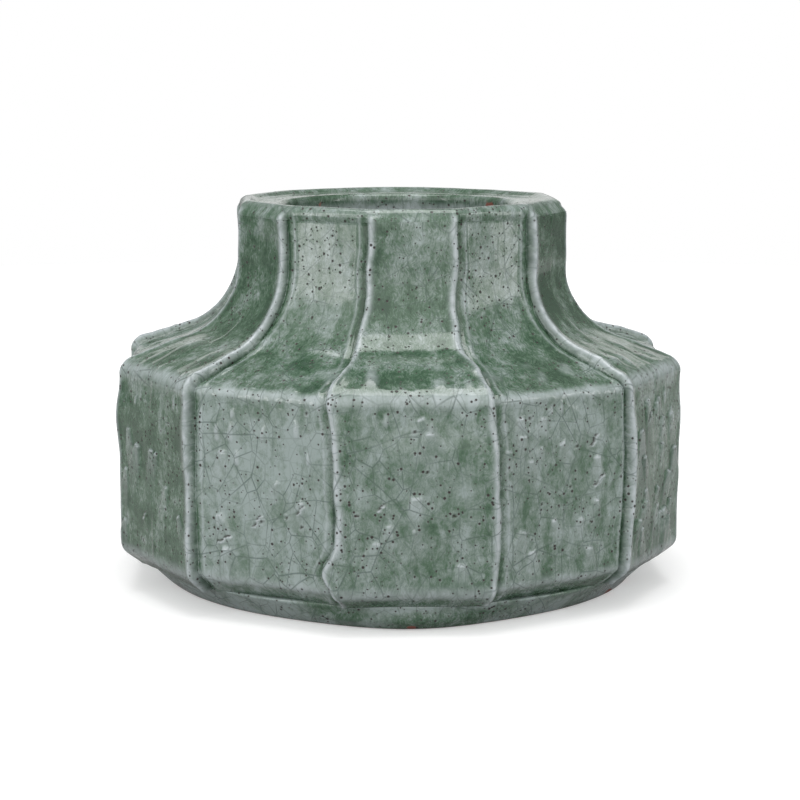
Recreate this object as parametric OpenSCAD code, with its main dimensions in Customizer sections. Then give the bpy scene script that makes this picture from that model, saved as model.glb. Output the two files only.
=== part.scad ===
/* [Overall size] */
// Distance across opposite corners of the body at its shoulder edge, mm
across_corners = 170; // [140:1:230]
// Height from the table to the top of the lip, mm
pot_height = 111.5; // [100:0.5:150]
// Height of the shoulder edge, where the wall turns inwards, mm
shoulder_height = 66; // [50:0.5:80]
// Slope of the shoulder above level, degrees
shoulder_slope = 19.5; // [12:0.5:24]

/* [Wall slabs] */
// Number of wall slabs round the pot, every second one raised
slab_count = 12; // [8:4:16]
// How far a raised slab stands proud of its neighbours, mm
relief = 2; // [1:0.1:3]
// Thickness of the thinner, sunk slabs, mm
wall = 7.5; // [5.5:0.5:9]
// Rounding of the shoulder edge, mm
shoulder_round = 3.5; // [2:0.25:6]
// Height of the hem of a raised slab, where the wall turns under, mm
hem_height = 12; // [10.5:0.25:16]
// How far the hem turns in towards the foot, mm
hem_turn = 5.6; // [4:0.1:7]
// How much higher the hem of a sunk slab sits, mm
hem_step = 1.2; // [0:0.1:2.5]

/* [Neck and lip] */
// Distance across opposite corners of the neck, mm
neck_across = 100.6; // [90:0.2:118]
// Radius of the hollow curve from the shoulder up into the neck, mm
neck_sweep = 24; // [14:0.5:28]
// Diameter of the round mouth, mm
mouth = 69; // [50:0.5:72]
// Thickness of the lip where it covers the tops of the slabs, mm
lip_cover = 3.2; // [2:0.1:5]
// Depth of the lip inside the neck, below the tops of the slabs, mm
lip_collar = 4.8; // [3:0.1:8]
// Rounding of the outer edge of the lip, mm
lip_round = 2.8; // [1:0.1:4.5]
// Rounding of the edge round the mouth, mm
mouth_round = 1.5; // [0.5:0.1:2.5]

/* [Foot and floor] */
// How far the round foot ring is set in from the corners of the body, mm
foot_inset = 8.8; // [7:0.1:11]
// Height of the foot ring, mm
foot_height = 7.5; // [5:0.25:9]
// Width of the flat face the foot ring stands on, mm
foot_face = 9; // [5:0.5:14]
// Rounding under the outer edge of the foot ring, mm
foot_round = 7; // [1:0.25:7]
// Thickness of the floor slab, mm
floor_thick = 7.5; // [5:0.5:10]

/* [Hidden] */
$fn = 96;
pairs = slab_count / 2;
raised_names = [for (i = [1:pairs]) str("raised_slab_", i)];
sunk_names = [for (i = [1:pairs]) str("sunk_slab_", i)];

// The joint between two slabs lies this far round from the middle of each.
half_turn = 180 / slab_count;
flat = cos(half_turn);
body_a = across_corners / 2 * flat;
neck_a = neck_across / 2 * flat;
hem_a = (across_corners / 2 - hem_turn) * flat;
skin_in = relief + wall;
neck_top = pot_height - lip_cover;
foot_r = across_corners / 2 - foot_inset;
foot_curve = min(foot_round, foot_height - 0.5);
mouth_r = mouth / 2;
reach = across_corners;

glaze_raised = [0.55, 0.63, 0.59];
glaze_sunk = [0.48, 0.57, 0.54];
glaze_lip = [0.42, 0.51, 0.46];
glaze_floor = [0.45, 0.52, 0.51];
glaze_foot = [0.38, 0.47, 0.42];

// Height of the shoulder line at distance a from the axis, on a skin set in by d.
function shoulder_z(a, d) =
    shoulder_height - d / cos(shoulder_slope) + (body_a - a) * tan(shoulder_slope);

// Centre of the hollow neck curve, shared by the outer and inner skins.
sweep_x = neck_a + neck_sweep;
sweep_z = shoulder_z(sweep_x, 0) + neck_sweep / cos(shoulder_slope);

// Side view of all the clay inside a skin set in by d, with its hem at hem_z.
module inside_skin(d, hem_z) {
    sweep = neck_sweep + d;
    edge_x = body_a - d - shoulder_round;
    edge_z = shoulder_z(edge_x, d) - shoulder_round / cos(shoulder_slope);
    difference() {
        union() {
            polygon([
                [0, foot_height],
                [hem_a - d, foot_height],
                [body_a - d, hem_z],
                [body_a - d, edge_z],
                [
                    edge_x + shoulder_round * sin(shoulder_slope),
                    edge_z + shoulder_round * cos(shoulder_slope)
                ],
                [
                    sweep_x - sweep * sin(shoulder_slope),
                    sweep_z - sweep * cos(shoulder_slope)
                ],
                [neck_a - d, sweep_z],
                [neck_a - d, neck_top],
                [0, neck_top]
            ]);
            translate([edge_x, edge_z])
                circle(r = shoulder_round);
        }
        translate([sweep_x, sweep_z])
            circle(r = sweep);
    }
}

// Side view of the hollow inside the pot, bounded by straight inner faces.
module hollow() {
    polygon([
        [-1, 0],
        [body_a - skin_in, 0],
        [body_a - skin_in, shoulder_z(body_a - skin_in, skin_in)],
        [
            sweep_x - (neck_sweep + skin_in) * sin(shoulder_slope),
            sweep_z - (neck_sweep + skin_in) * cos(shoulder_slope)
        ],
        [neck_a - skin_in, sweep_z],
        [neck_a - skin_in, pot_height],
        [-1, pot_height]
    ]);
}

// One wall slab facing +X: its side view drawn out level, cut at the two joints.
module slab(d, hem_z) {
    intersection() {
        rotate([90, 0, 0])
            linear_extrude(height = reach, center = true)
                difference() {
                    inside_skin(d, hem_z);
                    hollow();
                }
        joint_wedge();
    }
}

// The sector one slab fills, out to beyond the pot.
module joint_wedge() {
    linear_extrude(height = pot_height)
        polygon([
            [0, 0],
            [reach, -reach * tan(half_turn)],
            [reach, reach * tan(half_turn)]
        ]);
}

// Turns a slab or bar facing +X to place i, with place 0 at the front.
module place(i) {
    rotate([0, 0, i * 2 * half_turn - 90])
        children();
}

module raised_slab(i) {
    color(glaze_raised)
        place(2 * (i - 1))
            slab(0, hem_height);
}

module sunk_slab(i) {
    color(glaze_sunk)
        place(2 * i - 1)
            slab(relief, hem_height + hem_step);
}

// A many-sided block inside the slabs: one bar across for each pair of opposite flats.
module flats_block(a, low, high) {
    intersection_for (i = [0:pairs - 1])
        place(i)
            translate([-a, -reach, low])
                cube([2 * a, 2 * reach, high - low]);
}

// Side view of a bar across the lip, with both of its top edges rounded.
module lip_bar(a) {
    union() {
        translate([-a, neck_top])
            square([2 * a, lip_cover - lip_round]);
        translate([lip_round - a, neck_top])
            square([2 * (a - lip_round), lip_cover]);
        for (side = [-1, 1])
            translate([side * (a - lip_round), pot_height - lip_round])
                circle(r = lip_round);
    }
}

// The lip's cover over the slab tops, following raised and sunk flats in turn.
module lip_cover_block() {
    intersection_for (i = [0:pairs - 1])
        place(i)
            rotate([90, 0, 0])
                linear_extrude(height = reach, center = true)
                    intersection() {
                        lip_bar(neck_a - (i % 2) * relief);
                        translate([-reach, neck_top])
                            square([2 * reach, lip_cover]);
                    }
}

// Everything that is turned away to leave the mouth and its rounded edge.
module mouth_waste() {
    rotate_extrude()
        difference() {
            polygon([
                [0, neck_top - lip_collar - 1],
                [mouth_r, neck_top - lip_collar - 1],
                [mouth_r, pot_height - mouth_round],
                [mouth_r + mouth_round, pot_height - mouth_round],
                [mouth_r + mouth_round, pot_height + 1],
                [0, pot_height + 1]
            ]);
            translate([mouth_r + mouth_round, pot_height - mouth_round])
                circle(r = mouth_round);
        }
}

module lip_ring() {
    color(glaze_lip)
        difference() {
            union() {
                lip_cover_block();
                flats_block(neck_a - skin_in, neck_top - lip_collar, neck_top + lip_cover / 2);
            }
            mouth_waste();
        }
}

module floor_slab() {
    color(glaze_floor)
        flats_block(body_a - skin_in, foot_height, foot_height + floor_thick);
}

module foot_ring() {
    color(glaze_foot)
        rotate_extrude()
            union() {
                polygon([
                    [foot_r - foot_curve - foot_face, 0],
                    [foot_r - foot_curve, 0],
                    [foot_r, foot_curve],
                    [foot_r, foot_height],
                    [foot_r - foot_curve - foot_face - 1.5, foot_height]
                ]);
                intersection() {
                    translate([foot_r - foot_curve, foot_curve])
                        circle(r = foot_curve);
                    translate([foot_r - foot_curve, 0])
                        square([foot_curve, foot_curve]);
                }
            }
}

for (i = [1:pairs]) {
    raised_slab(i);
    sunk_slab(i);
}
lip_ring();
floor_slab();
foot_ring();
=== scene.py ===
"""Visual model of a squat slab-built stoneware brush pot under a crackled celadon glaze."""

import logging
import math
from dataclasses import dataclass, field
from enum import Enum

import bmesh
import bpy
import numpy as np
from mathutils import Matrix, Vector


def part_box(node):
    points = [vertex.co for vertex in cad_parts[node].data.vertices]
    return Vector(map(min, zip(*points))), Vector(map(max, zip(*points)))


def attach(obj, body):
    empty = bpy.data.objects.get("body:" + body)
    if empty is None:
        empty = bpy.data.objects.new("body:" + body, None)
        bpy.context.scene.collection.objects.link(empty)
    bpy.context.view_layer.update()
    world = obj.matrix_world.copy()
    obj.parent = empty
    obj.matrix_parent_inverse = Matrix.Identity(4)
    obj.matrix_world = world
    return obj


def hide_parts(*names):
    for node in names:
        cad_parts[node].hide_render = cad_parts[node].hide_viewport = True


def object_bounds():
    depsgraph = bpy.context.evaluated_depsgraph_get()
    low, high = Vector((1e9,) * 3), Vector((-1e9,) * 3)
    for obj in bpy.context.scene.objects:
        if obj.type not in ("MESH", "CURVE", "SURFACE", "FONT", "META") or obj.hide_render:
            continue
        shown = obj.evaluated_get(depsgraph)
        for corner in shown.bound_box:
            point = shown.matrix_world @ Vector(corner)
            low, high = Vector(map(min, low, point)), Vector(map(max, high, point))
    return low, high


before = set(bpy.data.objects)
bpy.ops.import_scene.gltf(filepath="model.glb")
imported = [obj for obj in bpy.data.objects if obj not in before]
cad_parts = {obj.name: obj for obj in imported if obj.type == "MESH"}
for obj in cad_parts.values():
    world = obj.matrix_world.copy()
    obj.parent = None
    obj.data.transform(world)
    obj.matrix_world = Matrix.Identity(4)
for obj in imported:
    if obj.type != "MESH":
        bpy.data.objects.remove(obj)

LOG = logging.getLogger("pot")
CAD_BOX = [list(corner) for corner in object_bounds()]
MM = 0.001
SHARP = math.radians(62)
Array = np.ndarray
Tree = bpy.types.NodeTree
Socket = bpy.types.NodeSocket


def from_hex(code: str) -> tuple[float, float, float, float]:
    """Turn an sRGB hex colour into a linear one.

    Args:
        code: Six hex digits, such as "8FA19B".

    Returns:
        Linear red, green, blue and an alpha of 1.
    """
    parts = [int(code[i : i + 2], 16) / 255 for i in (0, 2, 4)]
    linear = [c / 12.92 if c <= 0.04045 else ((c + 0.055) / 1.055) ** 2.4 for c in parts]
    return (linear[0], linear[1], linear[2], 1.0)


def smooth(low: float, high: float, x: Array) -> Array:
    """Ramp from 0 at low to 1 at high with soft ends.

    Args:
        low: Where the ramp starts.
        high: Where it ends; it may lie below low.
        x: Values to ramp.

    Returns:
        The ramped values.
    """
    t = np.clip((x - low) / (high - low), 0.0, 1.0)
    return t * t * (3.0 - 2.0 * t)


def bell(x: Array, width: float) -> Array:
    """Bell curve of height 1 that has fallen to 1/e at width."""
    return np.exp(-((x / width) ** 2))


def lumps(points: Array, size: float, seed: int) -> Array:
    """Smooth random lumps in space, the same on every run.

    Args:
        points: Places in millimetres, one row each.
        size: Distance between lumps in millimetres.
        seed: Which set of lumps.

    Returns:
        A height from -1 to 1 for each point.
    """
    cell = points / size
    corner = np.floor(cell).astype(np.int64)
    part = cell - corner
    part = part * part * part * (part * (part * 6 - 15) + 10)
    total = np.zeros(len(points))
    for corner_bits in range(8):
        bits = np.array([corner_bits & 1, corner_bits >> 1 & 1, corner_bits >> 2 & 1])
        at = corner + bits
        mixed = (at[:, 0] * 73856093) ^ (at[:, 1] * 19349663) ^ (at[:, 2] * 83492791) ^ (seed * 2654435761)
        mixed = (mixed ^ (mixed >> 13)) * 1274126177 & 0xFFFFFFFF
        mixed = (mixed ^ (mixed >> 16)) & 0xFFFF
        weight = np.prod(np.where(bits == 1, part, 1 - part), axis=1)
        total += weight * (mixed / 32767.5 - 1.0)
    return total


@dataclass(frozen=True)
class Wave:
    """One size of unevenness: height and spacing in millimetres, and which set of lumps it takes."""

    height: float
    spacing: float
    seed: int


# Broad swells from bending a slab over its former, then finger and paddle marks.
SWELL = Wave(0.55, 38.0, 21)
FINGER_MARKS = (Wave(0.32, 15.0, 22), Wave(0.1, 6.5, 23), Wave(0.03, 2.6, 24))
EDGE_CHATTER = (Wave(0.16, 4.2, 25), Wave(0.07, 1.9, 26))
FETTLING = (Wave(1.0, 24.0, 31), Wave(0.5, 8.0, 32), Wave(0.22, 3.2, 33))


def rolling(points: Array, waves: tuple[Wave, ...]) -> Array:
    """Sum of several sizes of lumps at each point."""
    return sum(wave.height * lumps(points, wave.spacing, wave.seed) for wave in waves)


@dataclass
class Spread:
    """Where a piece's points start, one value of each for each point, lengths in millimetres.

    They are the direction from the axis, the distance from it, the height, the outward direction
    away from the axis and upwards, and the length walked along the section.
    """

    phi: Array
    a: Array
    z: Array
    na: Array
    nz: Array
    walked: Array


@dataclass(frozen=True)
class PotSizes:
    """The pot's sizes in millimetres, taken from the frame's boxes where a box shows them."""

    slabs: int = 12
    flat: float = (CAD_BOX[1][1] - CAD_BOX[0][1]) / 2 / MM
    height: float = CAD_BOX[1][2] / MM
    foot_top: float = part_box("foot_ring")[1][2] / MM
    foot_r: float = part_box("foot_ring")[1][0] / MM
    floor_top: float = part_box("floor_slab")[1][2] / MM
    slab_top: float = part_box("raised_slab_1")[1][2] / MM
    lip_bottom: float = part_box("lip_ring")[0][2] / MM
    shoulder: float = 66.0
    slope: float = math.radians(19.5)
    relief: float = 2.0
    wall: float = 7.5
    shoulder_round: float = 3.2
    hem: float = 12.9
    hem_turn: float = 5.4
    neck_r: float = 50.2
    sweep: float = 25.5
    mouth_r: float = 34.5
    twist: float = math.radians(1.7)

    @property
    def half(self) -> float:
        """Half the angle that one slab takes up."""
        return math.pi / self.slabs

    @property
    def neck(self) -> float:
        """Distance from the axis to a raised flat of the neck."""
        return self.neck_r * math.cos(self.half)


SIZES = PotSizes()


@dataclass
class Corner:
    """A corner of a section: distance from the axis, height, rounding and spacing of the points."""

    a: float
    z: float
    rounding: float = 0.0
    step: float = 0.4


class Section:
    """A closed section through clay, walked as evenly spaced points with their outward directions."""

    def __init__(self, corners: list[Corner], fine: float = 1.0, closed: bool = True) -> None:
        """Round the corners and space out the points.

        Args:
            corners: The section's corners in order, with clay on the left of the walk.
            fine: Factor on every spacing, above 1 for a coarser and quicker mesh.
            closed: False for a disc, whose section starts and ends on the axis.
        """
        spots: list[tuple[float, float]] = []
        count = len(corners)
        for i, here in enumerate(corners):
            before, after = corners[i - 1], corners[(i + 1) % count]
            spots.extend(self.turn(before, here, after, here.step * fine))
        path = np.array(spots + [spots[0]] if closed else spots)
        steps = [c.step * fine for c in corners]
        self.a, self.z = self.spaced(path, corners, steps)
        self.measure()

    @staticmethod
    def turn(before: Corner, here: Corner, after: Corner, step: float) -> list[tuple[float, float]]:
        """Points round one corner.

        Args:
            before: The corner before.
            here: The corner to round.
            after: The corner after.
            step: Spacing of the points.

        Returns:
            Points along the rounding, or the corner itself if it is sharp.
        """
        p = Vector((here.a, here.z))
        back = (Vector((before.a, before.z)) - p).normalized()
        ahead = (Vector((after.a, after.z)) - p).normalized()
        if here.rounding <= 0:
            return [(p.x, p.y)]
        bend = back.angle(ahead)
        reach = here.rounding / math.tan(bend / 2)
        centre = p + (back + ahead).normalized() * (here.rounding / math.sin(bend / 2))
        start, end = p + back * reach - centre, p + ahead * reach - centre
        count = max(3, round(here.rounding * (math.pi - bend) / step))
        first = math.atan2(start.y, start.x)
        sweep = (math.atan2(end.y, end.x) - first + math.pi) % (2 * math.pi) - math.pi
        angles = [first + sweep * k / count for k in range(count + 1)]
        return [
            (centre.x + here.rounding * math.cos(t), centre.y + here.rounding * math.sin(t))
            for t in angles
        ]

    @staticmethod
    def spaced(path: Array, corners: list[Corner], steps: list[float]) -> tuple[Array, Array]:
        """Fill the straight stretches of a path with evenly spaced points.

        Args:
            path: The rounded outline, closed.
            corners: The corners it came from, whose spacing rules the stretch up to each.
            steps: Spacing for each corner.

        Returns:
            Distances from the axis and heights of the filled path.
        """
        places = np.array([(c.a, c.z) for c in corners])
        filled = [path[0]]
        for p, q in zip(path[:-1], path[1:]):
            nearest = int(np.argmin(np.hypot(*(places - q).T)))
            parts = max(1, math.ceil(math.hypot(*(q - p)) / steps[nearest]))
            filled.extend(p + (q - p) * k / parts for k in range(1, parts + 1))
        line = np.array(filled)
        return line[:, 0], line[:, 1]

    def measure(self) -> None:
        """Work out the length walked and the outward direction at every point."""
        da, dz = np.diff(self.a), np.diff(self.z)
        self.walked = np.concatenate([[0.0], np.cumsum(np.hypot(da, dz))])
        ta = np.gradient(self.a, self.walked)
        tz = np.gradient(self.z, self.walked)
        length = np.hypot(ta, tz)
        self.na, self.nz = tz / length, -ta / length

    @property
    def rows(self) -> int:
        """Number of steps along the section."""
        return len(self.a) - 1

    def spread(self, row_of_phi: Array) -> Spread:
        """Spread the section over a row of directions.

        Args:
            row_of_phi: The directions of one row.

        Returns:
            The points' values, row by row.
        """
        rows = (self.a, self.z, self.na, self.nz, self.walked)
        return Spread(np.tile(row_of_phi, self.rows + 1), *(np.repeat(row, len(row_of_phi)) for row in rows))


class Mark(Enum):
    """Kinds of mark left in the clay and glaze."""

    FLAME = "tongue of clay whose tip stands proud and fades as it widens downwards"
    CRACK = "short open split with a bright lower edge"
    DRIP = "long drop of glaze that stopped on its way down"
    PIT = "pinhole with a soft raised rim"


@dataclass(frozen=True)
class SurfaceMark:
    """One mark: where it is on its slab, how long, how strong and how it leans."""

    kind: Mark
    across: float
    z: float
    size: float
    lift: float
    lean: float = 0.0

    def effect(self, across: Array, walked: Array, centre: float) -> tuple[Array, Array, Array]:
        """What the mark does to the skin and its glaze.

        Args:
            across: Millimetres from the slab's middle line.
            walked: Millimetres walked up the skin.
            centre: Where the mark sits on that walk.

        Returns:
            Added height in millimetres, paleness that is a painted highlight on a flame's, crack's or drip's
            lit edge or dome and thinner glaze on a pit's rim, and painted shade inside an open slit or pinhole.
        """
        dx, dy = across - self.across, walked - centre
        cos, sin = math.cos(self.lean), math.sin(self.lean)
        along, below = dx * cos + dy * sin, dx * sin - dy * cos
        down = np.maximum(below, 0)
        if self.kind is Mark.FLAME:
            half = np.minimum(0.13 * self.size + 0.36 * down, 0.36 * self.size)
            window = smooth(1.0, 0.62, np.abs(along) / half)
            rise = smooth(-0.12, 0.28, below) * np.exp(-((down / (0.8 * self.size)) ** 1.4))
            # Paler tip edge and body: painted highlight on the tongue's lit upper edge and on its bulge.
            tip = window * (0.95 * bell(below - 0.3, 0.35) + 0.35 * rise * smooth(0.2, 1.2, below))
            return self.lift * window * rise, tip, np.zeros_like(dx)
        if self.kind is Mark.CRACK:
            crooked = below + 0.22 * np.sin(along * 2.1) + 0.12 * np.sin(along * 5.3)
            window = smooth(1.0, 0.75, np.abs(along) / (self.size / 2))
            slit = window * bell(crooked, 0.2)
            shelf = window * smooth(0.0, 0.3, crooked) * np.exp(-np.maximum(crooked, 0) / 1.6)
            # Paler band below the split: painted highlight on its raised lower edge; the slit value is painted
            # shade inside the split.
            return self.lift * shelf - 0.35 * slit, window * 0.95 * bell(crooked - 0.5, 0.3), slit
        if self.kind is Mark.DRIP:
            belly = 1.0 + 0.7 * smooth(0.4, -0.45, dy / self.size)
            r = np.sqrt((dx / (self.size * 0.13 * belly)) ** 2 + (dy / (self.size * 0.5)) ** 2)
            dome = np.sqrt(np.clip(1 - r * r, 0, 1)) * smooth(1.0, 0.7, r)
            # The drop's paleness is a painted highlight on its dome.
            return self.lift * dome, 0.6 * dome, np.zeros_like(dx)
        r = np.hypot(dx, dy) / self.size
        rim = bell(r - 1.6, 0.6)
        # Dark centre: painted shade inside the pinhole; the slightly paler rim is thinner glaze.
        return self.lift * (0.35 * rim - bell(r, 0.7)), 0.3 * rim, smooth(0.95, 0.6, r)


@dataclass(frozen=True)
class Lap:
    """How a raised slab laps over a sunk one: heights, widths and distances in millimetres."""

    roll: float = 1.6
    front_roll: float = 2.4
    bead: float = 0.24
    bead_width: float = 1.1
    groove: float = 0.42
    groove_width: float = 0.65
    smear: float = 0.13
    smear_at: float = 2.3
    smear_width: float = 0.6
    collar: float = 0.62


LAP = Lap()


class Landmark(Enum):
    """Places on the walk up the outer skin."""

    START = "under the hem"
    HEM = "the hem's corner"
    EDGE = "the shoulder edge"
    NECK = "the middle of the neck's sweep"
    TOP = "the top of the slabs"


@dataclass(frozen=True)
class Band:
    """A level band round the pot: where it lies, how wide it is and how strong."""

    landmark: Landmark
    offset: float
    width: float
    amount: float


# Bands where the glaze ran thin: shoulder edge, hem, and the outer and inner arris of the lip.
PALE_BANDS = (
    Band(Landmark.EDGE, -0.4, 1.3, 0.5),
    Band(Landmark.HEM, 0.0, 1.6, 0.55),
    Band(Landmark.TOP, 3.4, 1.4, 0.2),
    Band(Landmark.TOP, 17.5, 1.5, 0.6),
)
# Depth of the glaze on the way up: landmark, millimetres past it and depth.
DEPTH_ON_THE_WAY_UP = (
    (Landmark.START, 0.0, 0.5), (Landmark.HEM, 0.0, 0.45),
    (Landmark.HEM, 4.0, 0.3), (Landmark.HEM, 28.0, 0.22),
    (Landmark.EDGE, -4.0, 0.4), (Landmark.EDGE, 0.0, 0.28),
    (Landmark.EDGE, 2.5, 0.7), (Landmark.EDGE, 9.0, 0.68),
    (Landmark.NECK, -6.0, 0.58), (Landmark.NECK, 8.0, 0.5),
    (Landmark.TOP, -3.0, 0.5), (Landmark.TOP, 4.0, 0.56),
)


@dataclass(frozen=True)
class MarkHabit:
    """How many marks of a kind a slab gets, and the limits that chance keeps to.

    Reach is to each side of the slab's middle line and, like heights, sizes and lifts, in millimetres.
    Counts and stretch name the slabs that differ from the usual.
    """

    kind: Mark
    usual: int
    counts: dict[int, int]
    reach: float
    heights: tuple[float, float]
    sizes: tuple[float, float]
    lifts: tuple[float, float]
    leans: tuple[float, float] | None = None
    stretch: dict[int, float] = field(default_factory=dict)


MARK_HABITS = (
    MarkHabit(Mark.FLAME, 9, {1: 14, 2: 20, 3: 12, 11: 5, 0: 7, 10: 8}, 17.0, (20.0, 60.0),
              (4.0, 11.0), (0.4, 0.85), (-0.45, 0.45), {2: 1.3}),
    MarkHabit(Mark.CRACK, 1, {11: 3, 1: 2}, 15.0, (22.0, 60.0), (3.0, 6.0), (0.2, 0.35), (0.5, 1.1)),
    MarkHabit(Mark.DRIP, 2, {11: 7}, 16.0, (46.0, 61.0), (3.5, 6.5), (0.25, 0.45)),
    MarkHabit(Mark.PIT, 4, {}, 17.0, (16.0, 62.0), (0.35, 0.6), (0.2, 0.4)),
)


class Skin:
    """The pot's outer skin: flats, lapped joints and the unevenness a potter's hands leave."""

    def __init__(self, fine: float) -> None:
        """Lay out the sections of slab, lip, foot and floor.

        Args:
            fine: Factor on the spacing of points.
        """
        s = SIZES
        self.fine = fine
        low = s.relief
        tilt = math.tan(s.slope)
        rise = s.relief / math.cos(s.slope)
        shoulder = s.shoulder - rise + low * tilt
        neck_foot = s.shoulder - rise + (s.flat - s.neck + low) * tilt
        inside = s.flat - low - s.wall
        neck_in = s.neck - low - s.wall
        self.outer = [
            Corner(s.flat - low - s.hem_turn, s.foot_top, 0.0, 0.4),
            Corner(s.flat - low, s.hem, 2.4, 0.4),
            Corner(s.flat - low, shoulder, s.shoulder_round, 0.4),
            Corner(s.neck - low, neck_foot, s.sweep, 0.45),
            Corner(s.neck - low, s.slab_top, 0.0, 0.45),
        ]
        inner = [
            Corner(neck_in, s.slab_top, 0.0, 2.0),
            Corner(neck_in, neck_foot - s.wall / math.cos(s.slope) + s.wall * tilt, s.sweep + s.wall, 3.0),
            Corner(inside, shoulder - s.wall / math.cos(s.slope) + s.wall * tilt, 0.0, 3.0),
            Corner(inside, s.foot_top, 0.0, 3.0),
        ]
        self.slab = Section(self.outer + inner, fine)
        self.top_walk = self.slab.walked[-1]
        self.top_walk = self.walk_to(self.outer[4])
        self.hem_walk = self.walk_to(self.outer[1])
        self.edge_walk = self.walk_to(self.outer[2])
        self.neck_walk = self.walk_to(self.outer[3])
        self.walks = dict(zip(Landmark, (0.0, self.hem_walk, self.edge_walk, self.neck_walk, self.top_walk)))

    def walk_to(self, corner: Corner) -> float:
        """Length walked from the hem up to a corner of the slab's outer skin."""
        away = np.hypot(self.slab.a - corner.a, self.slab.z - corner.z)
        return float(self.slab.walked[np.argmin(np.where(self.slab.walked <= self.top_walk, away, np.inf))])

    def walk_at_height(self, z: float) -> float:
        """Length walked up the outer skin to a height in millimetres."""
        rows = self.slab.walked <= self.top_walk
        return float(np.interp(z, self.slab.z[rows], self.slab.walked[rows]))

    def joint_shift(self, joint: Array, walked: Array) -> Array:
        """How far a lapped joint wanders from its straight line.

        Args:
            joint: Joint numbers, 0 on the viewer's right of the front slab, going anticlockwise.
            walked: Millimetres walked up the skin.

        Returns:
            Shift in millimetres, positive anticlockwise.
        """
        number = np.mod(joint, SIZES.slabs).astype(float)
        line = np.stack([number * 977.0, walked, number * 31.0], axis=1)
        shift = 0.7 * lumps(line, 26.0, 5) + 0.4 * lumps(line, 9.0, 6) + 0.12 * lumps(line, 3.0, 7)
        shift *= smooth(-2, 6, walked) * smooth(self.top_walk + 6, self.top_walk - 6, walked) * 0.7 + 0.3
        for bend in JOINT_BENDS:
            bow = bend.shift * bell(walked - bend.walked, bend.spread)
            shift += np.where(number == bend.joint, bow, 0.0)
        return shift

    def joint_angle(self, joint: Array, walked: Array, radius: Array) -> Array:
        """Direction of a joint at each point, with its wander."""
        straight = (2 * joint + 1) * SIZES.half - math.pi / 2
        return straight + self.joint_shift(joint, walked) / radius

    def relief(self, phi: Array, walked: Array, radius: Array) -> tuple[Array, Array, Array]:
        """Step, bead and groove of the laps between slabs.

        Args:
            phi: Direction from the axis.
            walked: Millimetres walked up the skin.
            radius: Distance from the axis.

        Returns:
            Height above the sunk skin, thinness of the glaze and depth of the glaze.
        """
        s = SIZES
        joint = np.rint((phi + math.pi / 2 - s.half) / (2 * s.half))
        gap = (phi - self.joint_angle(joint, walked, radius)) * radius
        raised = np.mod(joint + (gap > 0), 2) == 0
        away = np.abs(gap)
        roll = np.where(np.mod(joint, s.slabs) == 0, LAP.front_roll, LAP.roll)
        step = np.sqrt(np.clip(1 - (1 - np.minimum(away / roll, 1)) ** 2, 0, 1))
        line = np.stack([joint * 613.0, walked, np.zeros_like(walked)], axis=1)
        uneven = 1 + 0.25 * lumps(line, 14.0, 11)
        bead = LAP.bead * bell(away - roll, LAP.bead_width)
        smear = LAP.smear * bell(away - LAP.smear_at, LAP.smear_width)
        ribs = smooth(self.top_walk + 3.2, self.top_walk + 0.4, walked)
        hem = smooth(-1.0, 1.5, walked)
        collar = smooth(self.top_walk - 0.5, self.top_walk + 2.6, walked)
        collar *= smooth(self.top_walk + 7.0, self.top_walk + 3.4, walked)
        proud = np.where(raised, s.relief * step + bead, smear) * uneven
        height = (proud - LAP.groove * bell(away, LAP.groove_width)) * ribs * hem
        height = height * (1 - collar) + s.relief * LAP.collar * collar
        thin = np.where(raised, bell(away - 0.75 * roll, 0.85), 0.4 * bell(away - LAP.smear_at, 0.4))
        pool = 0.45 + 0.5 * smooth(self.neck_walk - 14, self.neck_walk, walked)
        behind_bead = 0.2 * bell(away, 0.5) + 0.25 * bell(away - roll - 1.9, 1.4)
        deep = np.where(raised, behind_bead, pool * bell(away - 0.6, 0.8))
        return height, thin * ribs, deep * ribs

    def unevenness(self, base: Array, walked: Array) -> tuple[Array, Array]:
        """Unevenness of the slabs, with clots of glaze above the shoulder edge.

        Args:
            base: Points on the even skin in millimetres.
            walked: Millimetres walked up the skin.

        Returns:
            Added height in millimetres, and how strongly a clot stands there.
        """
        edge = walked - self.edge_walk
        coarse = smooth(self.neck_walk - 4, self.neck_walk - 14, walked) * 0.65 + 0.35
        uneven = rolling(base, (SWELL,)) + rolling(base, FINGER_MARKS) * coarse
        curdled = bell(edge - 7.0, 7.5) * smooth(0.5, 3.5, edge)
        clots = curdled * smooth(0.15, 0.75, lumps(base, 3.6, 27))
        uneven += bell(edge, 5.0) * rolling(base, EDGE_CHATTER)
        uneven += 0.6 * clots + 0.16 * curdled * lumps(base, 2.1, 28)
        return uneven + 0.18 * bell(edge + 1.2, 1.2) - 0.12 * bell(edge - 4.0, 2.2), clots

    def add_marks(self, marks: list[SurfaceMark], across: Array, walked: Array,
                  height: Array) -> tuple[Array, Array]:
        """Add the marks of one slab to its height.

        Args:
            marks: The marks.
            across: Millimetres from the slab's middle line.
            walked: Millimetres walked up the skin.
            height: Heights of the skin, which this changes.

        Returns:
            Paleness of the marks, mostly painted highlight with some thinner glaze, and painted shade in open
            slits and pinholes.
        """
        thin, slit = np.zeros_like(height), np.zeros_like(height)
        for mark in marks:
            centre = self.walk_at_height(mark.z)
            near = (np.abs(across - mark.across) < 12) & (np.abs(walked - centre) < 20)
            if near.any():
                up, highlight_and_thinning, opened = mark.effect(across[near], walked[near], centre)
                height[near] += up
                thin[near] = np.maximum(thin[near], highlight_and_thinning)
                slit[near] = np.maximum(slit[near], opened)
        return thin, slit

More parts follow.
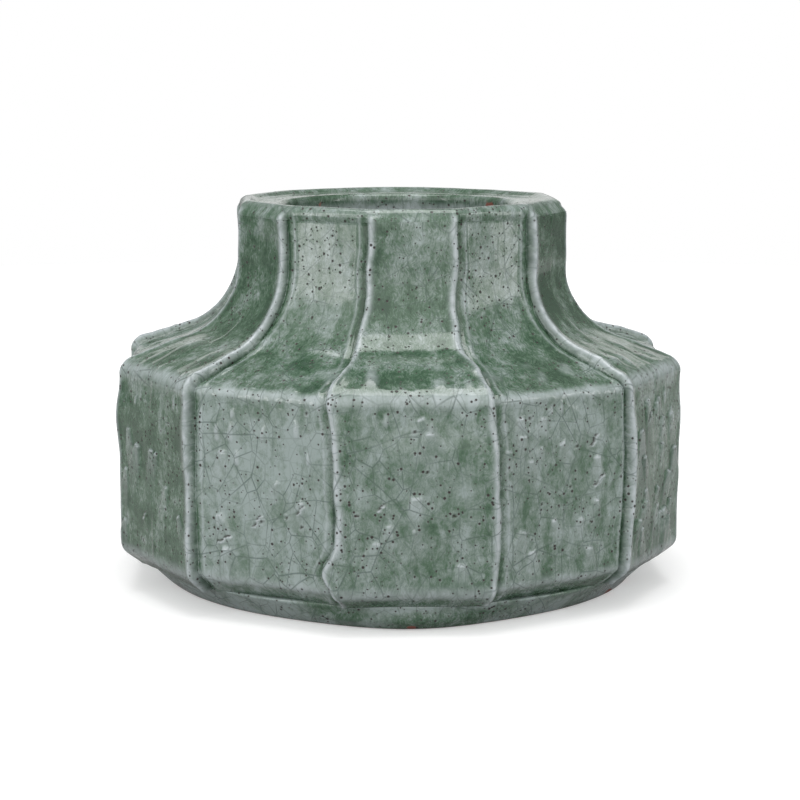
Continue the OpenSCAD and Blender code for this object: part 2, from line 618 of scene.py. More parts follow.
    def glaze_depth_and_painted_light(self, walked: Array, slab: int | None) -> Array:
        """Depth of the glaze on the flats, with the per-slab painted shade and painted reflection added.

        Args:
            walked: Millimetres walked up the skin.
            slab: Number of the slab, or None on a ring.

        Returns:
            The depth, 0 for thin and 1 for pooled.
        """
        places = [self.walks[landmark] + offset for landmark, offset, _ in DEPTH_ON_THE_WAY_UP]
        depth = np.interp(walked, places, [amount for _, _, amount in DEPTH_ON_THE_WAY_UP])
        # Per-slab offsets: partly painted shade on the side slabs and a painted reflection on slab 11.
        wall, top, neck = SLAB_DEPTH_AND_PAINTED_LIGHT.get(slab, (0.0, 0.0, 0.0))
        places = [self.edge_walk - 20, self.edge_walk - 9, self.edge_walk]
        depth = depth + np.interp(walked, places, [wall, top, 0.0])
        return depth + neck * smooth(self.neck_walk - 12, self.neck_walk, walked)

    def place(self, at: Spread, cover: Array, marks: list[SurfaceMark],
              slab: int | None) -> tuple[Array, dict[str, Array]]:
        """Put points on the uneven skin.

        Args:
            at: Where the points start.
            cover: 1 on the outer skin, 0 on hidden and inner faces.
            marks: Marks on this slab.
            slab: Number of the slab, or None on a ring.

        Returns:
            Points in millimetres and the glaze values of each.
        """
        half, phi, walked = SIZES.half, at.phi, at.walked
        middle = slab_middle(phi)
        turn = phi - middle
        radius = at.a / np.cos(turn)
        to_corner = (half - np.abs(turn)) * radius
        facing = middle + np.sign(turn) * half * smooth(4.5, 0.0, to_corner)
        own = middle if slab is None else slab * 2 * half - math.pi / 2
        across = radius * np.sin(phi - own)
        base = np.stack([radius * np.cos(phi), radius * np.sin(phi), at.z], axis=1)
        height, thin, lap_depth = self.relief(phi, walked, radius)
        uneven, clots = self.unevenness(base, walked)
        height += uneven
        mark_highlight_and_thinning, slit = self.add_marks(marks, across, walked, height)
        out = np.stack([at.na * np.cos(facing), at.na * np.sin(facing), at.nz], axis=1)
        points = base + out * (height * cover)[:, None]

        # Paleness on the clot tops is a painted glint, and most of the marks' paleness is painted highlight;
        # the lap and band paleness is thin glaze on the arrises.
        thin = np.maximum(np.maximum(thin, mark_highlight_and_thinning), 0.5 * clots)
        for band in PALE_BANDS:
            past = walked - self.walks[band.landmark] - band.offset
            thin = np.maximum(thin, band.amount * bell(past, band.width))
        rusty = smooth(0.42, 0.75, lumps(base, 4.5, 29)) * bell(walked - self.top_walk - 17.0, 2.5)
        depth = self.glaze_depth_and_painted_light(walked, slab)
        deep = depth + (1.0 - depth) * 0.75 * lap_depth
        fall = across + FLOW_APART * slab if slab is not None else phi * 46.0 + 5000.0
        flow = np.stack([fall, walked, np.zeros_like(across)], axis=1)
        values = {"thin": thin * cover, "deep": deep, "slit": slit * cover, "bare": rusty, "flow": flow}
        return self.settle(points), values

    @staticmethod
    def settle(points: Array) -> Array:
        """Twist the neck a little and let the shoulder lean, as the real pot's do.

        Args:
            points: Points in millimetres.

        Returns:
            The points where they settle.
        """
        z = points[:, 2]
        turn = SIZES.twist * smooth(SIZES.shoulder - 4, SIZES.height - 8, z)
        cos, sin = np.cos(turn), np.sin(turn)
        x, y = points[:, 0] * cos - points[:, 1] * sin, points[:, 0] * sin + points[:, 1] * cos
        shoulder = smooth(14, 58, z) * smooth(104, 72, z)
        lean = 0.011 * (y + SIZES.flat) - 0.004 * x
        dip = 1.2 * bell(x - 61.0, 10.0) * smooth(-15.0, 15.0, y)
        bow = 0.8 * smooth(40.0, 80.0, -x) * smooth(64.0, 52.0, z) * smooth(8.0, 16.0, z)
        hem = bell(z - SIZES.hem, 5.0) * smooth(SIZES.foot_top - 0.5, SIZES.foot_top + 2.0, z)
        return np.stack([x - bow, y, z + (lean - dip) * shoulder - 0.6 * hem], axis=1)


@dataclass(frozen=True)
class JointBend:
    """A place where one joint bows sideways."""

    joint: int
    walked: float
    spread: float
    shift: float


# How much deeper the glaze lies on a slab's wall, just under its shoulder edge and on its neck. The large
# values on the side slabs 2 and 10 are partly painted shade for the dimmer light at the sides, and slab 11's
# negative values are a painted reflection that makes the front-left slab paler.
SLAB_DEPTH_AND_PAINTED_LIGHT = {
    0: (0.12, 0.03, 0.03),
    1: (0.13, -0.15, -0.03),
    2: (0.5, 0.3, 0.36),
    10: (0.5, 0.38, 0.14),
    11: (-0.07, -0.14, -0.1),
}
# Millimetres between the glaze patterns of neighbouring slabs, so that none carries on into the next.
FLOW_APART = 310.0
JOINT_BENDS = [
    JointBend(11, 36.0, 15.0, 0.35),
    JointBend(11, 27.0, 4.5, 0.8),
    JointBend(11, 12.3, 4.6, -3.6),
    JointBend(11, 60.0, 8.0, -1.7),
    JointBend(0, 22.0, 26.0, 2.2),
    JointBend(0, 74.0, 9.0, 1.2),
    JointBend(0, 120.0, 12.0, 1.1),
    JointBend(1, 34.0, 26.0, 3.2),
    JointBend(10, 18.0, 22.0, 0.9),
]


def closed_mesh(name: str, columns: int, rows: int, points: Array, values: dict[str, Array],
                ring: bool = True) -> bpy.types.Object:
    """Bend a grid into a closed piece of clay.

    Args:
        name: Name of the piece.
        columns: Steps across the grid.
        rows: Steps along it, round the section.
        points: Places in millimetres, column by column within each row.
        values: Glaze values to keep on the points.
        ring: Whether the section ends where it starts.

    Returns:
        The finished object at the origin.
    """
    if ring:
        points[-columns - 1 :] = points[: columns + 1]
    bm = bmesh.new()
    bmesh.ops.create_grid(bm, x_segments=columns, y_segments=rows, size=0.5)
    mesh = bpy.data.meshes.new(name)
    bm.to_mesh(mesh)
    bm.free()
    count = len(mesh.vertices)
    flat = np.empty(count * 3)
    mesh.vertices.foreach_get("co", flat)
    flat = flat.reshape(-1, 3)
    order = np.rint((flat[:, 1] + 0.5) * rows).astype(int) * (columns + 1)
    order += np.rint((flat[:, 0] + 0.5) * columns).astype(int)
    mesh.vertices.foreach_set("co", (points[order] * MM).ravel())
    for key, value in values.items():
        kind, part = ("FLOAT_VECTOR", "vector") if value.ndim == 2 else ("FLOAT", "value")
        layer = mesh.attributes.new(key, kind, "POINT")
        layer.data.foreach_set(part, value[order].astype(np.float32).ravel())
    bm = bmesh.new()
    bm.from_mesh(mesh)
    bmesh.ops.remove_doubles(bm, verts=bm.verts, dist=2e-6)
    rims = [e for e in bm.edges if e.is_boundary]
    if rims:
        ends = bmesh.ops.holes_fill(bm, edges=rims, sides=0)["faces"]
        bmesh.ops.triangulate(bm, faces=ends, quad_method="BEAUTY", ngon_method="EAR_CLIP")
    bmesh.ops.recalc_face_normals(bm, faces=bm.faces)
    for face in bm.faces:
        face.smooth = True
    for edge in bm.edges:
        edge.smooth = edge.calc_face_angle(0.0) < SHARP
    bm.to_mesh(mesh)
    bm.free()
    piece = bpy.data.objects.new(name, mesh)
    bpy.context.collection.objects.link(piece)
    return piece


def slab_middle(phi: Array) -> Array:
    """Direction of the middle of the slab that each direction falls on."""
    return np.rint((phi + math.pi / 2) / (2 * SIZES.half)) * 2 * SIZES.half - math.pi / 2


def edge_spacing(count: int, tight: float) -> Array:
    """Positions from 0 to 1 that crowd towards both ends.

    Args:
        count: Number of steps.
        tight: 0 for even steps, towards 1 for tighter ends.

    Returns:
        The positions.
    """
    t = np.linspace(0, 1, count + 1)
    return t - tight * np.sin(2 * math.pi * t) / (2 * math.pi)


@dataclass
class WallSlab:
    """One bent slab of the wall, from the hem up to the top of the neck."""

    node: str
    number: int
    step: float = 0.4
    marks: list[SurfaceMark] = field(default_factory=list)

    def build(self, skin: Skin) -> bpy.types.Object:
        """Bend the slab round its section.

        Args:
            skin: The pot's skin.

        Returns:
            The slab.
        """
        section = skin.slab
        columns = int(44.0 / self.step / skin.fine)
        at = section.spread(edge_spacing(columns, 0.72))
        outer = at.walked <= skin.top_walk + 1e-6
        reach = np.maximum(np.where(outer, at.walked, 2 * skin.top_walk - at.walked), 0)
        radius = at.a / math.cos(SIZES.half)
        left = skin.joint_angle(np.full(len(at.a), float(self.number - 1)), reach, radius)
        right = skin.joint_angle(np.full(len(at.a), float(self.number)), reach, radius)
        at.phi = left + (right - left) * at.phi
        points, values = skin.place(at, outer.astype(float), self.marks, self.number)
        return closed_mesh(f"{self.node}_glazed", columns, section.rows, points, values)


@dataclass
class ClayRing:
    """A closed ring or disc of clay: the lip, the foot ring or the floor."""

    node: str
    corners: list[Corner]
    around: int
    start_walk: float = 0.0
    skin_walk: float = 0.0
    flat_at: float = 0.0
    round_at: float = 0.0
    wave: float = 0.3
    front_swell: float = 0.0
    closed: bool = True

    def build(self, skin: Skin) -> bpy.types.Object:
        """Carry the section round the axis.

        Args:
            skin: The pot's skin.

        Returns:
            The ring.
        """
        section = Section(self.corners, skin.fine, self.closed)
        columns = int(self.around / skin.fine)
        at = section.spread(np.linspace(-math.pi, math.pi, columns + 1))
        points, values = self.on_flats(skin, at) if self.skin_walk > 0 else self.in_the_round(at)
        return closed_mesh(f"{self.node}_glazed", columns, section.rows, points, values, self.closed)

    def on_flats(self, skin: Skin, at: Spread) -> tuple[Array, dict[str, Array]]:
        """Follow the slabs' flats outside and turn round inside.

        Args:
            skin: The pot's skin.
            at: Where the points start.

        Returns:
            Points in millimetres and the glaze values of each.
        """
        round_part = smooth(self.flat_at, self.round_at, at.a)
        cover = smooth(self.skin_walk + 0.5, self.skin_walk, at.walked)
        at.a = at.a * (1 - round_part) + at.a * np.cos(at.phi - slab_middle(at.phi)) * round_part
        at.walked = at.walked + self.start_walk
        return skin.place(at, cover, [], None)

    def in_the_round(self, at: Spread) -> tuple[Array, dict[str, Array]]:
        """Run round the axis with the marks of fettling.

        Args:
            at: Where the points start.

        Returns:
            Points in millimetres and the glaze values of each.
        """
        phi, a, z = at.phi, at.a, at.z
        many_sided = self.flat_at > 0
        if many_sided:
            a = a / (1 + (np.cos(phi - slab_middle(phi)) - 1) * smooth(self.round_at, self.flat_at, a))
        base = np.stack([a * np.cos(phi), a * np.sin(phi), z], axis=1)
        free = smooth(0.0, 2.5, z) * smooth(0.0, 6.0, a)
        uneven = self.wave * rolling(base, FETTLING) * free
        out = np.stack([at.na * np.cos(phi), at.na * np.sin(phi), at.nz], axis=1)
        front = bell(phi + math.pi / 2, 0.31) * smooth(self.corners[0].a + 3, self.corners[0].a + 10, a)
        swell = self.front_swell * front * smooth(SIZES.foot_top, 2.0, z)
        points = base + out * uneven[:, None]
        points[:, 0] += swell * np.cos(phi)
        points[:, 1] += swell * np.sin(phi)
        flow = np.stack([phi * SIZES.foot_r + 9000.0, at.walked, np.zeros_like(a)], axis=1)
        none = np.zeros_like(a)
        if many_sided:
            deep, thin, bare = np.full_like(a, 0.3), none, none
        else:
            # The darker band just under the hem, strongest at the front, is painted shade beneath the hem's
            # overhang, added to glaze lying deeper in the bend.
            deep = 0.62 * bell(phi + math.pi / 2, 0.45) * smooth(SIZES.foot_top, 4.0, z)
            deep += 0.1 * bell(z - SIZES.foot_top + 0.6, 1.2) + 0.42 * lumps(base, 9.0, 34)
            thin = 0.5 * bell(z - 1.2, 1.2) * smooth(-0.2, 0.6, lumps(base, 13.0, 36)) * free
            bare = smooth(0.5, 0.05, z) + 0.8 * smooth(0.45, 0.8, lumps(base, 6.0, 35)) * bell(z - 1.0, 1.2)
        return points, {"thin": thin, "deep": deep, "slit": none, "bare": bare, "flow": flow}


def add(tree: Tree, kind: str, inputs: dict | None = None, **settings: object) -> bpy.types.Node:
    """Add one shader node.

    Args:
        tree: The material's node tree.
        kind: Blender's name for the kind of node.
        inputs: Socket name or number to a value or to another node's output.
        settings: Properties of the node.

    Returns:
        The node.
    """
    node = tree.nodes.new(kind)
    for key, value in settings.items():
        setattr(node, key, value)
    for key, value in (inputs or {}).items():
        socket = node.inputs[key]
        if isinstance(value, Socket):
            tree.links.new(value, socket)
        else:
            socket.default_value = value
    return node


@dataclass(frozen=True)
class CeladonGlaze:
    """Celadon over grey stoneware, dipped thick and fired glossy, its crackle stained dark.

    The iron in it turns deep green where it lies thick, and it thins to a pale lilac grey on every arris.
    """

    name: str = "celadon_glaze_dipped_and_crackled"
    pale: str = "838F8C"
    middle: str = "66756C"
    green: str = "435B48"
    deepest: str = "2C4432"
    arris: str = "A6ADB0"
    stain: str = "34443E"
    speck: str = "1E1713"
    clay: str = "74463A"
    roughness: float = 0.11
    crackle_mm: float = 6.8
    speck_mm: float = 1.15

    def make(self) -> bpy.types.Material:
        """Build the glaze's material.

        Returns:
            The material.
        """
        material = bpy.data.materials.new(self.name)
        material.use_nodes = True
        tree = material.node_tree
        tree.nodes.clear()
        place = add(tree, "ShaderNodeTexCoord").outputs["Object"]
        mm = add(tree, "ShaderNodeMapping", {"Vector": place, "Scale": (1000, 1000, 1000)}).outputs[0]
        flow = add(tree, "ShaderNodeAttribute", attribute_name="flow").outputs["Vector"]
        deep, thin, slit, bare = (add(tree, "ShaderNodeAttribute", attribute_name=name).outputs["Fac"]
                                  for name in ("deep", "thin", "slit", "bare"))
        fine = add(tree, "ShaderNodeTexNoise", {"Vector": mm, "Scale": 0.55, "Detail": 3.0}).outputs["Fac"]
        wave = add(tree, "ShaderNodeTexNoise", {"Vector": mm, "Scale": 0.16, "Detail": 2.0}).outputs["Fac"]

        depth = self.depth(tree, mm, flow, deep)
        colour = self.colour(tree, depth, thin, mm)
        cracks = self.cracks(tree, flow, mm, depth)
        spots = self.specks(tree, flow, mm)
        clay = self.clay_shows(tree, bare, fine)
        # The slit value paints shade inside open splits and pinholes in the speck colour; crackle stain, specks
        # and bare clay are the glaze's own colours.
        coats = ((cracks, self.stain), (spots, self.speck), (slit, self.speck), (clay, self.clay))
        for factor, code in coats:
            mixed = {0: factor, 6: colour, 7: from_hex(code)}
            colour = add(tree, "ShaderNodeMix", mixed, data_type="RGBA").outputs[2]

        relief = wave
        for factor, weight in ((fine, 0.08), (cracks, -0.12), (spots, -1.2)):
            raised = {0: factor, 1: weight, 2: relief}
            relief = add(tree, "ShaderNodeMath", raised, operation="MULTIPLY_ADD").outputs[0]
        bump = add(tree, "ShaderNodeBump", {"Height": relief, "Strength": 0.4, "Distance": 0.0002})
        smoothest, dullest = self.roughness - 0.02, self.roughness + 0.05
        rough = add(tree, "ShaderNodeMapRange", {"Value": fine, "From Min": 0.3, "From Max": 0.75,
                                                 "To Min": smoothest, "To Max": dullest}).outputs[0]
        for factor, weight in ((clay, 0.55), (spots, 0.4)):
            dulled = {0: factor, 1: weight, 2: rough}
            rough = add(tree, "ShaderNodeMath", dulled, operation="MULTIPLY_ADD").outputs[0]
        shader = add(tree, "ShaderNodeBsdfPrincipled", {
            "Base Color": colour, "Roughness": rough, "IOR": 1.5, "Normal": bump.outputs[0],
        })
        add(tree, "ShaderNodeOutputMaterial", {"Surface": shader.outputs[0]})
        return material

    def depth(self, tree: Tree, mm: Socket, flow: Socket, deep: Socket) -> Socket:
        """How thick and green the glaze lies, with the painted shade and reflection kept on the piece.

        Args:
            tree: The material's node tree.
            mm: Place in millimetres.
            flow: Millimetres across a slab and along its fall.
            deep: Depth kept on the piece, which also carries painted shade on the side slabs and the foot and a
                painted reflection on slab 11.

        Returns:
            Depth from about 0 to 1.
        """
        sway = add(tree, "ShaderNodeTexNoise", {"Vector": mm, "Scale": 0.22, "Detail": 2.0})
        combed = add(tree, "ShaderNodeVectorMath", {0: sway.outputs["Color"], 1: (5.0, 5.0, 0.0), 2: flow},
                     operation="MULTIPLY_ADD").outputs[0]
        runs = add(tree, "ShaderNodeMapping", {"Vector": combed, "Scale": (0.30, 0.055, 1.0)}).outputs[0]
        hair = add(tree, "ShaderNodeMapping", {"Vector": combed, "Scale": (1.9, 0.6, 1.0)}).outputs[0]
        weights = []
        for low, high in ((1.1, 0.9), (0.45, 1.7), (1.2, 2.1)):
            along = {"Value": deep, "From Min": 0.25, "From Max": 0.65, "To Min": low, "To Max": high}
            swelling = add(tree, "ShaderNodeMapRange", along, interpolation_type="SMOOTHSTEP")
            weights.append(swelling.outputs[0])
        layers = (
            (mm, 1 / 9, 5.0, 0.6, weights[2]),
            (mm, 1 / 2.4, 6.0, 0.75, 1.1),
            (runs, 1.0, 3.0, 0.55, weights[0]),
            (hair, 1.0, 4.0, 0.7, weights[1]),
        )
        total = deep
        for vector, scale, detail, roughness, weight in layers:
            noise = add(tree, "ShaderNodeTexNoise", {"Vector": vector, "Scale": scale, "Detail": detail,
                                                     "Roughness": roughness}).outputs["Fac"]
            swing = add(tree, "ShaderNodeMath", {0: noise, 1: 0.5}, operation="SUBTRACT").outputs[0]
            total = add(tree, "ShaderNodeMath", {0: swing, 1: weight, 2: total},
                        operation="MULTIPLY_ADD").outputs[0]
        return total

    def colour(self, tree: Tree, depth: Socket, thin: Socket, mm: Socket) -> Socket:
        """Colour the glaze by its depth, pale on the arrises and where highlights are painted.

        Args:
            tree: The material's node tree.
            depth: How thick the glaze lies.
            thin: Where the piece thins it, and where it carries painted highlights on clots and marks.
            mm: Place in millimetres.

        Returns:
            The colour.
        """
        ramp = add(tree, "ShaderNodeValToRGB", {"Fac": depth})
        stops = [(0.05, self.pale), (0.38, self.middle), (0.68, self.green), (1.0, self.deepest)]
        while len(ramp.color_ramp.elements) < len(stops):
            ramp.color_ramp.elements.new(0.5)
        for element, (place, code) in zip(ramp.color_ramp.elements, stops):
            element.position = place
            element.color = from_hex(code)
        patchy = add(tree, "ShaderNodeTexNoise", {"Vector": mm, "Scale": 0.4, "Detail": 4.0}).outputs["Fac"]
        cover = add(tree, "ShaderNodeMapRange", {"Value": patchy, "From Min": 0.25, "From Max": 0.65,
                                                 "To Min": 0.5, "To Max": 1.0}).outputs[0]
        thin_glaze_and_highlight = add(tree, "ShaderNodeMath", {0: thin, 1: cover}, operation="MULTIPLY").outputs[0]
        mixed = {0: thin_glaze_and_highlight, 6: ramp.outputs["Color"], 7: from_hex(self.arris)}
        return add(tree, "ShaderNodeMix", mixed, data_type="RGBA").outputs[2]

    def cracks(self, tree: Tree, flow: Socket, mm: Socket, depth: Socket) -> Socket:
        """Draw the crackle: long cracks first, then short ones across them.

        Args:
            tree: The material's node tree.
            flow: Millimetres across a slab and along its fall.
            mm: Place in millimetres.
            depth: How thick the glaze lies.

        Returns:
            How strongly a crack shows.
        """
        warp = add(tree, "ShaderNodeTexNoise", {"Vector": mm, "Scale": 0.07, "Detail": 0.5})
        bent = add(tree, "ShaderNodeVectorMath", {0: warp.outputs["Color"], 1: (3.0, 3.0, 0.0), 2: flow},
                   operation="MULTIPLY_ADD").outputs[0]
        drawn = add(tree, "ShaderNodeMapping", {"Vector": bent, "Scale": (1.0, 0.8, 1.0)}).outputs[0]
        faint = add(tree, "ShaderNodeTexNoise", {"Vector": mm, "Scale": 0.1, "Detail": 3.0}).outputs["Fac"]
        shown = add(tree, "ShaderNodeMapRange", {"Value": faint, "From Min": 0.34, "From Max": 0.6,
                                                 "To Min": 0.18, "To Max": 0.62}).outputs[0]
        hidden = add(tree, "ShaderNodeMapRange", {"Value": depth, "From Min": 0.3, "From Max": 0.9,
                                                  "To Min": 1.0, "To Max": 0.45}).outputs[0]
        most = 0.0
        for share, width_mm, strength in ((1.0, 0.26, 1.0), (0.56, 0.2, 0.55), (2.1, 0.32, 1.0)):
            size = self.crackle_mm * share
            cells = {"Vector": drawn, "Scale": 1 / size, "Randomness": 0.85}
            to_edge = add(tree, "ShaderNodeTexVoronoi", cells, voronoi_dimensions="2D",
                          feature="DISTANCE_TO_EDGE").outputs["Distance"]
            line = add(tree, "ShaderNodeMapRange", {
                "Value": to_edge, "From Min": 0.0, "From Max": width_mm / size,
                "To Min": strength, "To Max": 0.0,
            }, interpolation_type="SMOOTHSTEP").outputs[0]
            most = add(tree, "ShaderNodeMath", {0: line, 1: most}, operation="MAXIMUM").outputs[0]
        most = add(tree, "ShaderNodeMath", {0: most, 1: shown}, operation="MULTIPLY").outputs[0]
        return add(tree, "ShaderNodeMath", {0: most, 1: hidden}, operation="MULTIPLY").outputs[0]

    def specks(self, tree: Tree, flow: Socket, mm: Socket) -> Socket:
        """Scatter iron specks and pinholes through the glaze, in drifts.

        Args:
            tree: The material's node tree.
            flow: Millimetres across a slab and along its fall.
            mm: Place in millimetres.

        Returns:
            How strongly a speck shows.
        """
        cell = add(tree, "ShaderNodeTexVoronoi", {"Vector": mm, "Scale": 1 / self.speck_mm}, feature="F1")
        parts = add(tree, "ShaderNodeSeparateColor", {"Color": cell.outputs["Color"]})
        drift = add(tree, "ShaderNodeMapping", {"Vector": flow, "Scale": (0.1, 0.03, 1.0)}).outputs[0]
        crowd = add(tree, "ShaderNodeTexNoise", {"Vector": drift, "Scale": 1.0, "Detail": 2.0})
        chance = add(tree, "ShaderNodeMapRange", {"Value": crowd.outputs["Fac"], "From Min": 0.38,
                                                  "From Max": 0.66, "To Min": 0.12, "To Max": 0.7})
        here = add(tree, "ShaderNodeMath", {0: parts.outputs[0], 1: chance.outputs[0]}, operation="LESS_THAN")
        uneven = add(tree, "ShaderNodeMath", {0: parts.outputs[1], 1: 3.0}, operation="POWER")
        radius = add(tree, "ShaderNodeMath", {0: uneven.outputs[0], 1: 0.16, 2: 0.15}, operation="MULTIPLY_ADD")
        to_spot = {0: cell.outputs["Distance"], 1: radius.outputs[0]}
        away = add(tree, "ShaderNodeMath", to_spot, operation="DIVIDE")
        spot = add(tree, "ShaderNodeMapRange", {"Value": away.outputs[0], "From Min": 0.9, "From Max": 1.5,
                                                "To Min": 1.0, "To Max": 0.0})
        shown = {0: spot.outputs[0], 1: here.outputs[0]}
        return add(tree, "ShaderNodeMath", shown, operation="MULTIPLY").outputs[0]

    def clay_shows(self, tree: Tree, bare: Socket, fine: Socket) -> Socket:
        """Break up the edge of the bare clay with the fine grain.

        Args:
            tree: The material's node tree.
            bare: Where the piece is bare.
            fine: Fine grain.

        Returns:
            How strongly the clay shows.
        """
        grain = add(tree, "ShaderNodeMath", {0: fine, 1: 0.6, 2: bare}, operation="MULTIPLY_ADD").outputs[0]
        return add(tree, "ShaderNodeMapRange", {"Value": grain, "From Min": 0.62, "From Max": 0.85},
                   interpolation_type="SMOOTHSTEP").outputs[0]


# Dipped thick, so it runs deep green down the shoulder and shows grey clay through on every arris.
WALL_GLAZE = CeladonGlaze()
# Wiped with a sponge at the foot, so it lies dark in the bend, deepened there by painted shade under the hem,
# and bare, rust-red clay shows underneath.
FOOT_GLAZE = CeladonGlaze(name="celadon_glaze_wiped_off_stoneware_foot", middle="64736A", green="445B49",
                          roughness=0.12, crackle_mm=7.0)
# Poured in and drained out, so it is thin, greyer and hardly crackled.
INNER_GLAZE = CeladonGlaze(name="celadon_glaze_poured_and_drained", pale="7F8A8A", middle="6C7976",
                           green="566660", roughness=0.14, crackle_mm=10.0)


@dataclass(frozen=True)
class SoftBox:
    """A soft box aimed at the middle of the pot.

    The bearing is in degrees seen from the pot, -90 at the front, and the lengths are in metres:
    level distance from the pot's axis, height of the middle, and the width and height of the face,
    whose brightness is 1 for white paper.
    """

    name: str
    bearing: float
    away: float
    height: float
    size: tuple[float, float]
    brightness: float

    def hang(self) -> None:
        """Make the light and hang it in its place."""
        light = bpy.data.lights.new(self.name, "AREA")
        light.shape = "RECTANGLE"
        light.size, light.size_y = self.size
        light.energy = self.brightness * math.pi * self.size[0] * self.size[1]
        box = bpy.data.objects.new(self.name, light)
        box.visible_camera = False
        bpy.context.scene.collection.objects.link(box)
        turn = math.radians(self.bearing)
        place = Vector((self.away * math.cos(turn), self.away * math.sin(turn), self.height))
        box.location = place
        aim = Vector((0, 0, 0.06)) - place
        box.rotation_euler = aim.to_track_quat("-Z", "Y").to_euler()


# Each tall strip is three nested boxes, so that its highlight on the neck fades at the sides.
STRIP_WIDTHS = (0.016, 0.024, 0.032)
SOFT_BOXES = [
    box
    for layer, width in enumerate(STRIP_WIDTHS)
    for box in (
        SoftBox(f"strip_left_{layer}", -143.0, 0.436, 0.18, (width, 0.26 + 2 * width), 4.2),
        SoftBox(f"strip_right_{layer}", -25.2, 0.43, 0.18, (width, 0.26 + 2 * width), 3.8),
    )
] + [
    SoftBox("top", 90.0, 0.2, 2.0, (1.2, 1.5), 3.8),
    SoftBox("back", 90.0, 1.3, 0.4, (1.4, 0.45), 0.6),
]


@dataclass
class Studio:
    """Camera, round white floor, white backdrop and soft boxes."""

    lens_mm: float = 94.42
    distance: float = 0.62594
    eye: float = 0.154785
    pitch: float = 0.1666
    bearing: float = 0.0508
    shift: tuple[float, float] = (0.0023, 0.0064)
    floor_radius: float = 0.95

    def build(self) -> None:
        """Set up the camera, floor and lights."""
        scene = bpy.context.scene
        camera = bpy.data.objects.new("camera", bpy.data.cameras.new("camera"))
        scene.collection.objects.link(camera)
        camera.data.lens = self.lens_mm
        camera.data.sensor_width = 36.0
        camera.data.shift_x, camera.data.shift_y = self.shift
        x, y = -self.distance * math.sin(self.bearing), -self.distance * math.cos(self.bearing)
        camera.location = (x, y, self.eye)
        camera.rotation_euler = (math.pi / 2 - self.pitch, 0.0, -self.bearing)
        scene.camera = camera
        self.floor()
        self.world()
        for box in SOFT_BOXES:
            box.hang()
        scene.view_settings.view_transform = "Standard"

    def floor(self) -> None:
        """Lay a round white table top that the pot stands on, toned down where it would light the pot."""
        bm = bmesh.new()
        bmesh.ops.create_circle(bm, cap_ends=True, segments=96, radius=self.floor_radius)
        mesh = bpy.data.meshes.new("floor")
        bm.to_mesh(mesh)
        bm.free()
        floor = bpy.data.objects.new("floor", mesh)
        bpy.context.collection.objects.link(floor)
        # Matt white laminate: no sheen of its own, only the pot's soft shadow shows on it.
        material = bpy.data.materials.new("white_laminate_table")
        material.use_nodes = True
        tree = material.node_tree
        tree.nodes.clear()
        white = add(tree, "ShaderNodeBsdfPrincipled", {
            "Base Color": (0.72, 0.72, 0.72, 1), "Roughness": 0.9, "Specular IOR Level": 0.1,
            "Emission Color": (1, 1, 1, 1), "Emission Strength": 0.3,
        })
        toned = add(tree, "ShaderNodeBsdfDiffuse", {"Color": (0.48, 0.48, 0.48, 1)})
        seen = add(tree, "ShaderNodeLightPath").outputs["Is Camera Ray"]
        both = add(tree, "ShaderNodeMixShader", {0: seen, 1: toned.outputs[0], 2: white.outputs[0]})
        add(tree, "ShaderNodeOutputMaterial", {"Surface": both.outputs[0]})
        mesh.materials.append(material)

    @staticmethod
    def world() -> None:
        """Light the room softly, brightest in front, before a plain white backdrop."""
        world = bpy.data.worlds.new("studio")
        world.use_nodes = True
        tree = world.node_tree
        toward = add(tree, "ShaderNodeTexCoord").outputs["Generated"]
        brightest = (-0.2, -0.92, 0.34)
        front = add(tree, "ShaderNodeVectorMath", {0: toward, 1: brightest}, operation="DOT_PRODUCT")
        room = add(tree, "ShaderNodeMapRange", {
            "Value": front.outputs["Value"], "From Min": -0.2, "From Max": 0.9, "To Min": 0.3, "To Max": 1.65,
        }, interpolation_type="SMOOTHSTEP")
        seen = add(tree, "ShaderNodeLightPath").outputs["Is Camera Ray"]
        strength = add(tree, "ShaderNodeMix", {0: seen, 2: room.outputs[0], 3: 1.0}).outputs[0]
        tree.links.new(strength, tree.nodes["Background"].inputs["Strength"])
        tree.nodes["Background"].inputs["Color"].default_value = (1, 1, 1, 1)
        bpy.context.scene.world = world


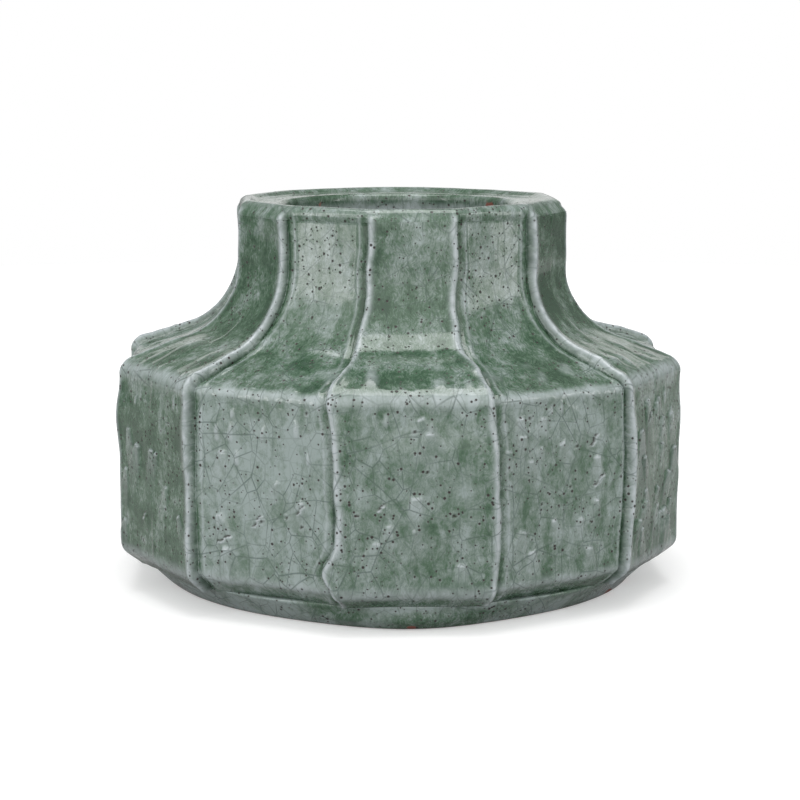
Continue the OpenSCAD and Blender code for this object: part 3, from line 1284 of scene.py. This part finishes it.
@dataclass
class BrushPot:
    """The whole pot, put together from its clay parts."""

    fine: float = 1.0
    seed: int = 7

    @staticmethod
    def marks_for(number: int, rng: np.random.Generator) -> list[SurfaceMark]:
        """Marks that chance leaves on one slab.

        Args:
            number: Number of the slab.
            rng: The source of chance.

        Returns:
            The marks.
        """
        marks = []
        for habit in MARK_HABITS:
            for _ in range(habit.counts.get(number, habit.usual)):
                across, z = rng.uniform(-habit.reach, habit.reach), rng.uniform(*habit.heights)
                size = rng.uniform(*habit.sizes) * habit.stretch.get(number, 1.0)
                lift = rng.uniform(*habit.lifts)
                lean = rng.uniform(*habit.leans) if habit.leans else 0.0
                marks.append(SurfaceMark(habit.kind, across, z, size, lift, lean))
        return marks

    def build(self) -> None:
        """Make every piece, dress it and tie it to the frame."""
        skin = Skin(self.fine)
        glazes = {"glaze": WALL_GLAZE, "foot_glaze": FOOT_GLAZE, "inner_glaze": INNER_GLAZE}
        finishes = {slot: glaze.make() for slot, glaze in glazes.items()}
        rng = np.random.default_rng(self.seed)
        for place in range(SIZES.slabs):
            kind = "raised" if place % 2 == 0 else "sunk"
            node = f"{kind}_slab_{place // 2 + 1}"
            slab = WallSlab(node, place, marks=self.marks_for(place, rng))
            self.finish(slab.build(skin), node, "glaze", finishes["glaze"])
        for ring, slot in self.rings(skin):
            self.finish(ring.build(skin), ring.node, slot, finishes[slot])

    def rings(self, skin: Skin) -> list[tuple[ClayRing, str]]:
        """Lay out the lip, the foot ring and the floor.

        Args:
            skin: The pot's skin.

        Returns:
            Each ring with its finish slot.
        """
        s = SIZES
        neck_out, neck_in = s.neck - s.relief, s.neck - s.relief - s.wall
        inside = s.flat - s.relief - s.wall
        lip = ClayRing("lip_ring", [
            Corner(neck_out, s.slab_top, 0.0, 0.4),
            Corner(neck_out, s.height, 2.8, 0.4),
            Corner(s.mouth_r, s.height - 0.7, 1.6, 0.5),
            Corner(s.mouth_r, s.lip_bottom, 0.6, 0.6),
            Corner(neck_in, s.lip_bottom, 0.0, 1.0),
            Corner(neck_in, s.slab_top, 0.0, 2.0),
        ], around=700, start_walk=skin.top_walk, skin_walk=26.0, flat_at=neck_out, round_at=s.mouth_r + 5.0)
        foot = ClayRing("foot_ring", [
            Corner(s.foot_r - 16.0, 0.0, 0.6, 1.0),
            Corner(s.foot_r - 6.4, 0.0, 2.6, 0.35),
            Corner(s.foot_r + 1.1, s.foot_top, 0.5, 0.35),
            Corner(s.foot_r - 17.5, s.foot_top, 0.0, 1.5),
        ], around=1000, front_swell=4.1)
        floor = ClayRing("floor_slab", [
            Corner(0.0, s.foot_top, 0.0, 2.5),
            Corner(inside, s.foot_top, 0.0, 2.5),
            Corner(inside, s.floor_top, 0.0, 1.5),
            Corner(0.0, s.floor_top, 0.0, 1.5),
        ], around=240, flat_at=inside, round_at=inside - 12.0, wave=0.25, closed=False)
        return [(lip, "glaze"), (foot, "foot_glaze"), (floor, "inner_glaze")]

    @staticmethod
    def finish(piece: bpy.types.Object, node: str, slot: str, material: bpy.types.Material) -> None:
        """Dress a piece, tie it to the root and hide the CAD part it stands for.

        Args:
            piece: The piece.
            node: The CAD node it stands for.
            slot: The record's material slot; not used.
            material: Its finish.
        """
        piece.data.materials.append(material)
        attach(piece, "root")
        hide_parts(node)
        LOG.info("%s: %d faces", piece.name, len(piece.data.polygons))


def main() -> None:
    """Build the pot and the studio."""
    logging.basicConfig(level=logging.INFO, format="%(message)s")
    BrushPot(fine=1.0).build()
    Studio().build()


if __name__ == "__main__":
    main()
